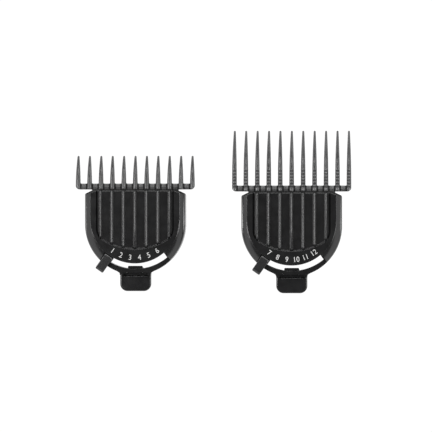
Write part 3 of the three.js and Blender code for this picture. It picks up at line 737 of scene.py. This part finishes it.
def notch_ys(teeth):
    """Stations along a tooth that draw its notches, none if it has none."""
    if not teeth["notches"]:
        return []
    first = -NOTCH_STEPS // 2
    count = NOTCH_STEPS * teeth["notches"] + 1
    return [NOTCH_FIRST_Y + i * NOTCH_PITCH / NOTCH_STEPS for i in range(first, first + count)]


def tooth_outline(teeth, x, share, start):
    end = teeth["tip"] - TOOTH_TIP_HALF
    on_bar = np.linspace(start, BAR_Y[1], 5)
    free = np.linspace(BAR_Y[1] + 0.4, end, 22)
    notched = [y for y in notch_ys(teeth) if y > BAR_Y[1]]
    ys = np.array(sorted({round(y, 4) for y in [*on_bar, *free, *notched]}))
    half = tooth_half(teeth, ys) * share
    right = np.stack([x + half, ys], axis=1)
    tip = arc(x, end, TOOTH_TIP_HALF * share, 0, 180, 10)
    left = np.stack([x - half, ys], axis=1)[::-1]
    return chain(right, tip, left)


def comb_lines(teeth):
    half, start, end = TONGUE
    tail_half, tail_start, tail_end = TAIL
    win_half, win_start, win_end = TONGUE_WINDOW
    tongue = box_path(-half, half, start, end)
    lines = [(tongue, True), (box_path(-tail_half, tail_half, tail_start, tail_end), True)]
    lines.append((box_path(-win_half, win_half, win_start, win_end), True))
    lines.append((bar_outline(), True))
    wide_half, wide_start, wide_end = TONGUE_SHOULDER
    lines.append((box_path(-wide_half, wide_half, wide_start, wide_end), True))
    for side in (-STEP / 2, STEP / 2):
        lines.append((arc(0, FOLLOWER_Y, FOLLOWER_R + side, 0, 360, 24)[:-1], True))
    reach = BAR_HALF + 1
    rows = [REAR_GROOVE[0], REAR_GROOVE[0] + STEP, BAR_Y[0] - STEP, BAR_Y[0]]
    rows += [BAR_Y[0] + depth for depth in round_offsets(BAR_REAR_ROUND)]
    rows += [BAR_Y[0] + depth for depth in round_offsets(TOOTH_REAR_ROUND)]
    rows += [BAR_GROOVE_Y + share * BAR_STEP for share in (-0.5, -0.25, 0, 0.25, 0.5)]
    rows += [BAR_Y[1] - depth for depth in round_offsets(BAR_EDGE_ROUND)]
    for y in rows:
        lines.append(crosswise(-reach, reach, y))
    fillet = [0] + round_offsets(TOOTH_FILLET)
    pocket = [STEP] + [POCKET_WIDTH * i / 6 for i in range(1, 7)]
    for tooth_x in tooth_xs():
        start_y = BAR_Y[0] - STEP / 2
        for angle in ROUND_ANGLES:
            share = TOOTH_FLAT + (1 - TOOTH_FLAT) * math.sin(math.radians(angle))
            lines.append((tooth_outline(teeth, tooth_x, share, start_y), False))
        lines.append(lengthwise(tooth_x, start_y, teeth["tip"]))
        for sign in (-1, 1):
            edge = [(tooth_x + sign * (TOOTH_HALF + t), bar_front(TOOTH_HALF + t)) for t in fillet]
            lines.append((np.array([(float(x), float(y)) for x, y in edge]), False))
            for t in pocket:
                x = tooth_x + sign * (TOOTH_HALF + t)
                lines.append(lengthwise(x, start_y, float(bar_front(TOOTH_HALF + t))))
        for y in notch_ys(teeth)[:-1]:
            lines.append(crosswise(tooth_x - TOOTH_HALF, tooth_x + TOOTH_HALF, y))
    return lines


def tooth_comb(prefix, origin):
    teeth = TEETH[prefix]
    tongue, tail, window, bar, wide = [line for line, _ in comb_lines(teeth)[:5]]
    blades = [tooth_outline(teeth, x, 1.0, BAR_Y[0]) for x in tooth_xs()]

    def inside(x, y):
        hit = within(tongue, x, y) & ~within(window, x, y) | within(tail, x, y) | within(bar, x, y)
        hit |= within(wide, x, y)
        for blade in blades:
            hit |= within(blade, x, y)
        away = tooth_away(x)
        beside = (y > BAR_Y[1] - 0.1) & (y < bar_front(away)) & (away < TOOTH_HALF + TOOTH_FILLET)
        hit |= beside & (np.abs(x) < BAR_HALF)
        off_corners = (y > BAR_Y[1]) | within(bar, x, y) | (y < BAR_Y[0])
        return hit & off_corners

    shell = relief(
        comb_lines(teeth),
        inside,
        lambda x, y: comb_top(teeth, x, y),
        lambda x, y: comb_bottom(teeth, x, y))
    return place(f"{prefix}_tooth_comb_look", [shell], origin)


# ---- knob -----------------------------------------------------------------------------------

def knob_outline():
    inner, outer = -KNOB_R[0], -KNOB_R[1]
    r = KNOB_CORNER
    right = arc(KNOB_HALF - r, outer + r, r, 270, 360, 6)
    near = arc(KNOB_HALF - KNOB_EDGE_ROUND, inner - KNOB_EDGE_ROUND, KNOB_EDGE_ROUND, 0, 90, 4)
    return chain(right, near, flipped(near), flipped(right))


def knob_top(x, y):
    profile = np.array(KNOB_PROFILE)
    height = np.interp(y, profile[:, 0], profile[:, 1])
    return height - rounded(distance_to(knob_outline(), x, y), KNOB_EDGE_ROUND)


def knob_bottom(x, y):
    shoe_end, shoe_z = SHOE_POCKET
    post_half, post_end, post_start, post_z = POST_POCKET
    height = np.where(y > shoe_end, shoe_z, KNOB_UNDERSIDE_Z)
    return np.where((np.abs(x) < post_half) & (y > post_end) & (y < post_start), post_z, height)


def lever_knob(prefix, origin):
    outline = knob_outline()
    lines = [(outline, True)]
    for depth in round_offsets(KNOB_EDGE_ROUND):
        lines.append((offset(outline, depth), True))
    rows = [y for y, _ in KNOB_PROFILE[1:-1]]
    post_half, post_end, post_start, _ = POST_POCKET
    for side in (-STEP / 2, STEP / 2):
        rows.append(SHOE_POCKET[0] + side)
        post_x = post_half + side
        lines.append((box_path(-post_x, post_x, post_end - side, post_start + side), True))
    for y in rows:
        lines.append(crosswise(-KNOB_HALF, KNOB_HALF, y))
    shell = relief(lines, lambda x, y: within(outline, x, y), knob_top, knob_bottom)
    return place(f"{prefix}_lever_knob_look", [shell], origin, -HALF_SWEEP)


# ---- release latch --------------------------------------------------------------------------

def tab_outline():
    r = TAB_CORNER_R
    horn_in, horn_out = HORN_X
    horn_y = FOOT_Y - HORN_DROP
    edge_y = FOOT_Y - HOLLOW_DROP
    corner = arc(TAB_HALF - r, TAB_END_Y + r, r, 270, 360, 14)
    horn = bend((TAB_HALF, FOOT_Y - 1.5), (TAB_HALF, horn_y - 0.1), (horn_out, horn_y), 6)
    hollow = bend((horn_in, horn_y), (horn_in - 0.2, edge_y), (horn_in - 1, edge_y), 8)
    right = chain(corner, horn, hollow)
    return chain(right, flipped(right))


def release_latch(prefix, origin):
    tab = tab_outline()
    neck_half, neck_start, neck_end = NECK
    neck = box_path(-neck_half, neck_half, neck_start, neck_end)
    foot_half, foot_start, foot_end = NECK_FOOT
    neck_foot = box_path(-foot_half, foot_half, foot_start, foot_end)

    def on_tab(x, y):
        return inset(tab, x, y) > -STEP / 4

    def top(x, y):
        edge = distance_to(tab, x, y)
        return np.where(on_tab(x, y), TAB_Z[1] - rounded(edge, TAB_EDGE_ROUND), NECK_Z)

    def bottom(x, y):
        edge = distance_to(tab, x, y)
        rounded_part = on_tab(x, y) & (y < neck_start)
        return np.where(rounded_part, TAB_Z[0] + rounded(edge, TAB_LOWER_ROUND), TAB_Z[0])

    lines = [(tab, True), (neck, True), (neck_foot, True), (offset(tab, -STEP), True)]
    for depth in round_offsets(TAB_EDGE_ROUND) + round_offsets(TAB_LOWER_ROUND):
        lines.append((offset(tab, depth), True))
    lines.append(crosswise(-TAB_HALF, TAB_HALF, neck_start - STEP))

    def inside(x, y):
        return within(tab, x, y) | within(neck, x, y) | within(neck_foot, x, y)

    shell = relief(lines, inside, top, bottom)
    hook, hook_faces = prism(HOOK, -1, 1)
    narrows, halves = np.array(HOOK_TIP).T
    hook[:, 0] *= np.interp(hook[:, 1], narrows, halves)
    parts = [
        shell,
        (hook, hook_faces),
        prism(WEB, -WEB_HALF, BARREL_X[1]),
        tube(LATCH_AXIS, BARREL_R, *BARREL_X),
    ]
    return place(f"{prefix}_release_latch_look", parts, origin)


# ---- numerals -------------------------------------------------------------------------------

def numerals(prefix, origin, first):
    """The settings printed below the panel, their tops towards the pivot."""
    shells = []
    for i in range(SETTINGS):
        angle = (i - (SETTINGS - 1) / 2) * NUMERAL_STEP
        text = bpy.data.curves.new(f"{prefix}_numeral", "FONT")
        text.body = str(first + i)
        text.align_x = "CENTER"
        text.align_y = "CENTER"
        text.size = NUMERAL_HEIGHT / CAP_SHARE
        text.extrude = NUMERAL_DEPTH
        text.offset = NUMERAL_WEIGHT
        text.resolution_u = 4
        source = bpy.data.objects.new(text.name, text)
        bpy.context.scene.collection.objects.link(source)
        bpy.context.view_layer.update()
        mesh = source.to_mesh()
        turn = Matrix.Rotation(math.radians(angle), 4, "Z")
        shift = Matrix.Translation((0, -NUMERAL_R, FACE_Z))
        narrow = Matrix.Diagonal((NUMERAL_WIDTH, 1, 1, 1))
        corners = [turn @ shift @ narrow @ vertex.co for vertex in mesh.vertices]
        faces = [tuple(face.vertices) for face in mesh.polygons]
        shells.append((np.array([tuple(corner) for corner in corners]), faces))
        source.to_mesh_clear()
        bpy.data.objects.remove(source)
    return place(f"{prefix}_numerals", shells, origin)


# ---- materials ------------------------------------------------------------------------------

SHEEN_SPREAD = 0.04
CLOUD_SCALE = 260


def moulded(name, colour, roughness, grain, grain_scale, mottle=0.25):
    """A moulded plastic: fine grain, slightly uneven sheen and a faint cloudiness of colour."""
    material = bpy.data.materials.new(name)
    material.use_nodes = True
    nodes, links = material.node_tree.nodes, material.node_tree.links
    shader = nodes["Principled BSDF"]
    coords = nodes.new("ShaderNodeTexCoord")
    cloud = nodes.new("ShaderNodeTexNoise")
    cloud.inputs["Scale"].default_value = CLOUD_SCALE
    cloud.inputs["Detail"].default_value = 4
    links.new(coords.outputs["Object"], cloud.inputs["Vector"])
    tint = nodes.new("ShaderNodeValToRGB")
    tint.color_ramp.elements[0].position = 0.3
    tint.color_ramp.elements[1].position = 0.7
    tint.color_ramp.elements[0].color = (*[part * (1 - mottle) for part in colour], 1)
    tint.color_ramp.elements[1].color = (*[part * (1 + mottle) for part in colour], 1)
    links.new(cloud.outputs["Fac"], tint.inputs["Fac"])
    links.new(tint.outputs["Color"], shader.inputs["Base Color"])
    sheen = nodes.new("ShaderNodeMapRange")
    sheen.inputs["To Min"].default_value = roughness - SHEEN_SPREAD
    sheen.inputs["To Max"].default_value = roughness + SHEEN_SPREAD
    links.new(cloud.outputs["Fac"], sheen.inputs["Value"])
    links.new(sheen.outputs["Result"], shader.inputs["Roughness"])
    fine = nodes.new("ShaderNodeTexNoise")
    fine.inputs["Scale"].default_value = grain_scale
    fine.inputs["Detail"].default_value = 3
    links.new(coords.outputs["Object"], fine.inputs["Vector"])
    bump = nodes.new("ShaderNodeBump")
    bump.inputs["Strength"].default_value = grain
    bump.inputs["Distance"].default_value = 0.00005
    links.new(fine.outputs["Fac"], bump.inputs["Height"])
    links.new(bump.outputs["Normal"], shader.inputs["Normal"])
    return material


def frame_plastic():
    return moulded("frame_plastic", (0.0048, 0.0048, 0.0050), 0.20, 0.20, 5200)


# The comb's base colour is set several times lighter than the frame's black: painted light that brightens
# the teeth and bar.
def comb_plastic():
    return moulded("comb_plastic", (0.036, 0.036, 0.0365), 0.26, 0.15, 4200)


def knob_plastic():
    return moulded("knob_plastic", (0.0085, 0.0085, 0.0088), 0.24, 0.25, 5200)


def latch_plastic():
    return moulded("latch_plastic", (0.0050, 0.0050, 0.0053), 0.21, 0.25, 5200)


def lever_plastic():
    return moulded("lever_plastic", (0.010, 0.010, 0.0105), 0.50, 0.2, 4200)


def back_plastic():
    return moulded("back_plastic", (0.014, 0.014, 0.0145), 0.6, 0.3, 3800)


def bush_plastic():
    return moulded("bush_plastic", (0.62, 0.60, 0.54), 0.42, 0.1, 3000, 0.06)


def scale_ink():
    return moulded("scale_ink", (0.33, 0.33, 0.325), 0.55, 0.2, 9000, 0.04)


def steel():
    """Bright zinc-plated steel with fine rubbing marks."""
    material = bpy.data.materials.new("steel")
    material.use_nodes = True
    nodes, links = material.node_tree.nodes, material.node_tree.links
    shader = nodes["Principled BSDF"]
    shader.inputs["Metallic"].default_value = 1.0
    coords = nodes.new("ShaderNodeTexCoord")
    stretch = nodes.new("ShaderNodeMapping")
    stretch.inputs["Scale"].default_value = (600, 5200, 5200)
    links.new(coords.outputs["Object"], stretch.inputs["Vector"])
    marks = nodes.new("ShaderNodeTexNoise")
    marks.inputs["Scale"].default_value = 1.0
    marks.inputs["Detail"].default_value = 5
    links.new(stretch.outputs["Vector"], marks.inputs["Vector"])
    tint = nodes.new("ShaderNodeValToRGB")
    tint.color_ramp.elements[0].color = (0.50, 0.51, 0.53, 1)
    tint.color_ramp.elements[1].color = (0.70, 0.71, 0.72, 1)
    links.new(marks.outputs["Fac"], tint.inputs["Fac"])
    links.new(tint.outputs["Color"], shader.inputs["Base Color"])
    sheen = nodes.new("ShaderNodeMapRange")
    sheen.inputs["To Min"].default_value = 0.24
    sheen.inputs["To Max"].default_value = 0.42
    links.new(marks.outputs["Fac"], sheen.inputs["Value"])
    links.new(sheen.outputs["Result"], shader.inputs["Roughness"])
    bump = nodes.new("ShaderNodeBump")
    bump.inputs["Strength"].default_value = 0.15
    bump.inputs["Distance"].default_value = 0.00003
    links.new(marks.outputs["Fac"], bump.inputs["Height"])
    links.new(bump.outputs["Normal"], shader.inputs["Normal"])
    return material


MATERIALS = {
    "frame_plastic": frame_plastic(),
    "comb_plastic": comb_plastic(),
    "knob_plastic": knob_plastic(),
    "latch_plastic": latch_plastic(),
    "lever_plastic": lever_plastic(),
    "back_plastic": back_plastic(),
    "bush_plastic": bush_plastic(),
    "scale_ink": scale_ink(),
    "steel": steel(),
}

# ---- what goes where ------------------------------------------------------------------------

INNER_NODES = {
    "back_plate": "back_plastic",
    "cam_lever": "lever_plastic",
    "pivot_bush": "bush_plastic",
    "pivot_screw": "steel",
    "back_screw_left": "steel",
    "back_screw_right": "steel",
    "detent_spring": "steel",
    "latch_pin": "steel",
    "latch_spring": "steel",
}


INNER_EDGE = 0.06 * MM


def dress(obj, material):
    obj.data.materials.clear()
    obj.data.materials.append(MATERIALS[material])


def soften(node, width):
    """Small rounded edges on a CAD node."""
    merge = node.modifiers.new("flat faces", "DECIMATE")
    merge.decimate_type = "DISSOLVE"
    merge.angle_limit = math.radians(1)
    edge = node.modifiers.new("edges", "BEVEL")
    edge.width = width
    edge.segments = 2
    edge.limit_method = "ANGLE"
    edge.angle_limit = math.radians(40)
    shade = node.modifiers.new("even shading", "WEIGHTED_NORMAL")
    shade.keep_sharp = True


def pivot_of(prefix):
    """The lever's pivot at table height, in the row frame."""
    for joint in frame["joints"]:
        if joint["name"] == f"{prefix}_lever_turn":
            return Vector((joint["pos_m"][0], joint["pos_m"][1], cad_bounds[0][2]))
    raise LookupError(prefix)


def guide_comb(prefix, first_setting):
    origin = pivot_of(prefix)
    looks = [
        (comb_frame(prefix, origin), "frame", "frame_body", "frame_plastic"),
        (tooth_comb(prefix, origin), "tooth_comb", "comb_body", "comb_plastic"),
        (lever_knob(prefix, origin), "lever_knob", "lever_body", "knob_plastic"),
        (release_latch(prefix, origin), "release_latch", "latch_body", "latch_plastic"),
    ]
    for obj, node, body, material in looks:
        dress(obj, material)
        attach(obj, f"{prefix}_{body}")
        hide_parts(f"{prefix}_{node}")
    print_marks = numerals(prefix, origin, first_setting)
    dress(print_marks, "scale_ink")
    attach(print_marks, f"{prefix}_frame_body")
    for node, material in INNER_NODES.items():
        obj = frame["nodes"][f"{prefix}_{node}"]
        dress(obj, material)
        if not node.endswith("spring"):
            soften(obj, INNER_EDGE)


guide_comb("short", 1)
guide_comb("long", 7)

# ---- table, light and camera ----------------------------------------------------------------


def table():
    """A white lit table top."""
    reach = 1.5
    top = cad_bounds[0][2] - 0.0002
    corners = [(-reach, -reach), (reach, -reach), (reach, reach), (-reach, reach)]
    mesh = bpy.data.meshes.new("table")
    mesh.from_pydata([(x, y, top) for x, y in corners], [], [(0, 1, 2, 3)])
    obj = bpy.data.objects.new("table", mesh)
    bpy.context.scene.collection.objects.link(obj)
    material = bpy.data.materials.new("white_table")
    material.use_nodes = True
    nodes, links = material.node_tree.nodes, material.node_tree.links
    nodes.remove(nodes["Principled BSDF"])
    glow = nodes.new("ShaderNodeEmission")
    glow.inputs["Color"].default_value = (1, 1, 1, 1)
    glow.inputs["Strength"].default_value = 1.05
    links.new(glow.outputs["Emission"], nodes["Material Output"].inputs["Surface"])
    obj.data.materials.append(material)


def softbox(name, position, width, height, radiance, target=(0, 0, 0.008)):
    light = bpy.data.lights.new(name, "AREA")
    light.shape = "RECTANGLE"
    light.size = width
    light.size_y = height
    light.energy = radiance * math.pi * width * height
    obj = bpy.data.objects.new(name, light)
    obj.location = position
    aim = Vector(target) - Vector(position)
    obj.rotation_euler = aim.to_track_quat("-Z", "Y").to_euler()
    bpy.context.scene.collection.objects.link(obj)


def surroundings(strength):
    world = bpy.data.worlds.new("room")
    world.use_nodes = True
    world.node_tree.nodes["Background"].inputs["Color"].default_value = (1, 1, 1, 1)
    world.node_tree.nodes["Background"].inputs["Strength"].default_value = strength
    bpy.context.scene.world = world


def camera():
    low, high = cad_bounds
    middle = (Vector(low) + Vector(high)) / 2
    distance = 1.5
    seen_width = 0.1685
    sensor = 36
    lean = math.radians(2.0)
    aim = Vector((middle.x + 0.00115, middle.y - 0.0016, high[2]))
    lens = bpy.data.cameras.new("camera")
    lens.sensor_width = sensor
    lens.lens = sensor * distance / seen_width
    obj = bpy.data.objects.new("camera", lens)
    obj.location = aim + Vector((math.sin(lean), 0, math.cos(lean))) * distance
    obj.rotation_euler = (0, lean, 0)
    bpy.context.scene.collection.objects.link(obj)
    bpy.context.scene.camera = obj


table()
softbox("back strip", (0, 0.30, 0.52), 0.6, 0.16, 9.0)
softbox("left strip", (-0.31, 0, 0.52), 0.2, 0.15, 20.0)
softbox("right strip", (0.31, 0, 0.52), 0.2, 0.15, 15.0)
softbox("back wall", (0, 0.9, 0.32), 1.8, 0.62, 2.4)
for name, x, y in [("left", -0.9, 0), ("right", 0.9, 0), ("front", 0, -0.9)]:
    softbox(f"{name} wall", (x, y, 0.5), 1.8, 0.98, 1.35, (0, 0, 0.5))
surroundings(0.10)
camera()
bpy.context.scene.view_settings.view_transform = "Standard"
